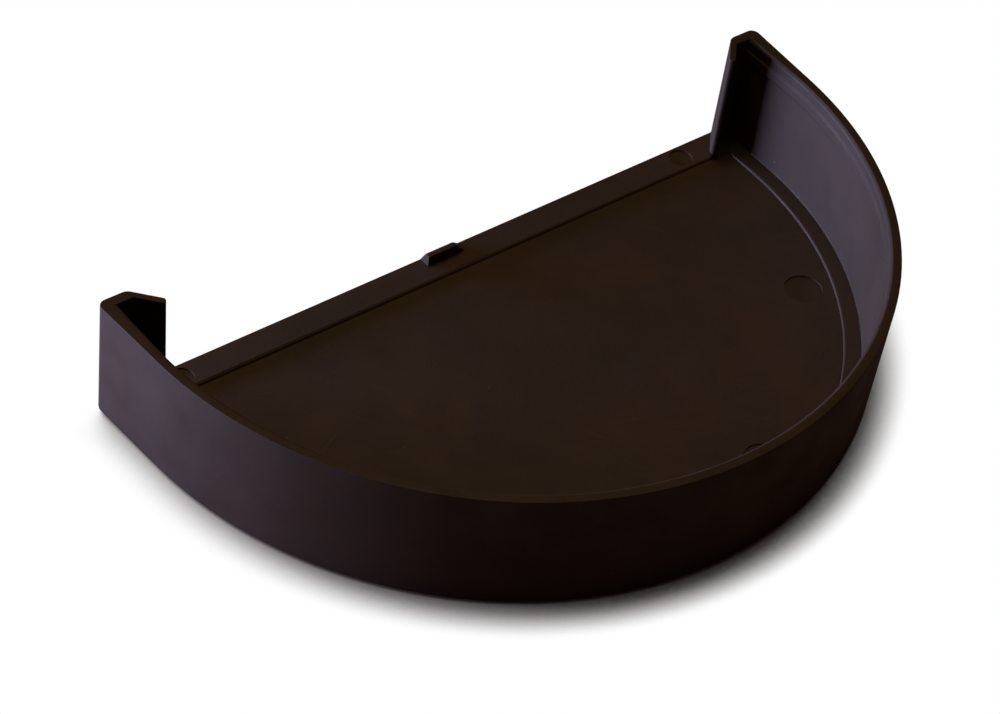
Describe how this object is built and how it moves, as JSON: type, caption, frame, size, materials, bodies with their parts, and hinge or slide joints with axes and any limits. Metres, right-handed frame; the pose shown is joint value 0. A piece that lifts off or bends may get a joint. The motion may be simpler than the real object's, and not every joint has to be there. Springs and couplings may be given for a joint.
{
  "type": "gutter end cap",
  "caption": "Half-round gutter end cap in dark brown plastic: a D-shaped end plate with a rim round its curved side, a snap bead and two hooked lips.",
  "frame": {"origin": "on the end plate's flat outer face, halfway along the straight edge and halfway from it to the bottom of the curve", "axes": "+X along the straight edge, +Y across the plate towards the straight edge, which is up when fitted, +Z away from the plate's outer face, towards the gutter"},
  "size_m": [0.1314, 0.0768, 0.0224],
  "materials": {
    "brown_plastic": "satin, injection moulded"
  },
  "bodies": {
    "root": {"end_cap": "brown_plastic"}
  },
  "joints": []
}
